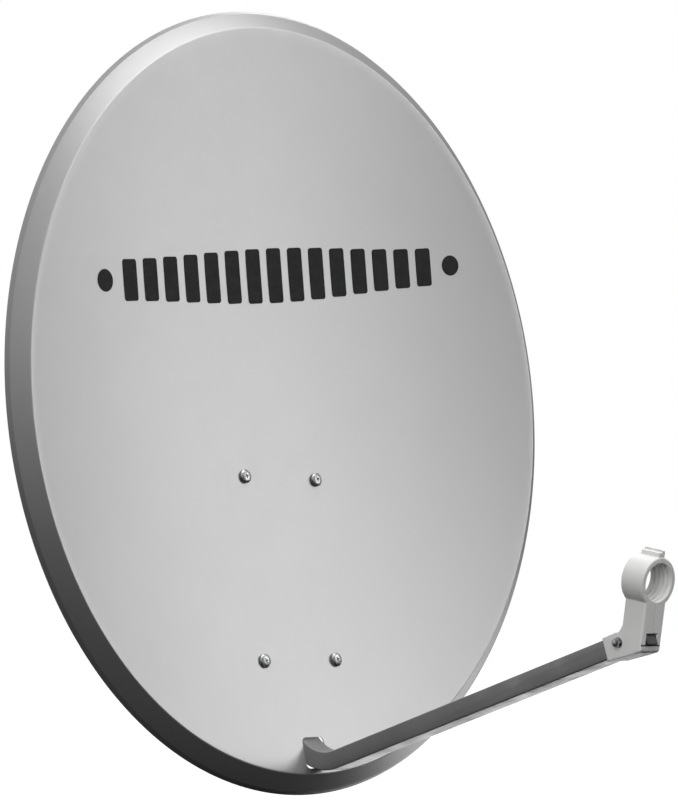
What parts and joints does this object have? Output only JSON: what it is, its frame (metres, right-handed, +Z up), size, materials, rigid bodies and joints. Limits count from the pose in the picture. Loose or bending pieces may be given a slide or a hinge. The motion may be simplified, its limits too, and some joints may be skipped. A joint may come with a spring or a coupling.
{
  "type": "satellite dish",
  "caption": "Oval offset reflector with a rolled rim, a bent feed arm through a slot, a split feed holder ring and a tilting rear bracket on a toothed mast clamp.",
  "frame": {"origin": "on the mast's axis at the middle of the clamp", "axes": "+Z up along the mast, the reflector faces -Y, +X across it"},
  "size_m": [0.8158, 0.8166, 0.9049],
  "materials": {
    "reflector_coat": "light grey powder coat on aluminium sheet",
    "zinc": "bright zinc plating",
    "galvanised": "galvanised sheet",
    "arm_coat": "grey coated steel tube",
    "white_plastic": "moulded white plastic",
    "black_plastic": "moulded black plastic",
    "black_rubber": "black rubber",
    "scale_print": "printed plate"
  },
  "bodies": {
    "mast_side": {"mast_bracket": "galvanised", "pivot_bolt": "zinc", "pivot_washer_left": "zinc", "pivot_washer_right": "zinc", "pivot_nut": "zinc", "lock_bolt_left": "zinc", "lock_bolt_right": "zinc", "lock_washer_left": "zinc", "lock_washer_right": "zinc", "lock_nut_left": "zinc", "lock_nut_right": "zinc", "clamp_bolt_left": "zinc", "clamp_bolt_right": "zinc"},
    "dish_side": {"reflector": "reflector_coat", "reflector_screw_upper_left": "zinc", "reflector_screw_upper_right": "zinc", "reflector_screw_lower_left": "zinc", "reflector_screw_lower_right": "zinc", "screw_spacer_upper_left": "black_rubber", "screw_spacer_upper_right": "black_rubber", "screw_spacer_lower_left": "black_rubber", "screw_spacer_lower_right": "black_rubber", "screw_washer_upper_left": "zinc", "screw_washer_upper_right": "zinc", "screw_washer_lower_left": "zinc", "screw_washer_lower_right": "zinc", "screw_nut_upper_left": "zinc", "screw_nut_upper_right": "zinc", "screw_nut_lower_left": "zinc", "screw_nut_lower_right": "zinc", "dish_bracket": "galvanised", "elevation_scale": "scale_print", "feed_arm": "arm_coat", "arm_end_cap": "black_plastic", "arm_bolt_upper": "zinc", "arm_bolt_lower": "zinc", "arm_washer_upper": "zinc", "arm_washer_lower": "zinc", "feed_holder_left": "white_plastic", "holder_bolt": "zinc", "holder_washer_left": "zinc"},
    "jaw": {"clamp_jaw": "galvanised", "clamp_washer_left": "zinc", "clamp_washer_right": "zinc", "clamp_nut_left": "zinc", "clamp_nut_right": "zinc"},
    "holder_right": {"feed_holder_right": "white_plastic", "holder_washer_right": "zinc", "holder_nut": "zinc"}
  },
  "joints": [
    {"name": "elevation_tilt", "type": "hinge", "parent": "mast_side", "child": "dish_side", "pos_m": [0, -0.116, 0.03], "axis": [-1, 0, 0], "range_deg": [-20, 25]},
    {"name": "clamp_jaw_slide", "type": "slide", "parent": "mast_side", "child": "jaw", "axis": [0, 1, 0], "range_m": [-0.0255, 0.014]},
    {"name": "holder_half_slide", "type": "slide", "parent": "dish_side", "child": "holder_right", "axis": [1, 0, 0], "range_m": [0, 0.012]}
  ]
}
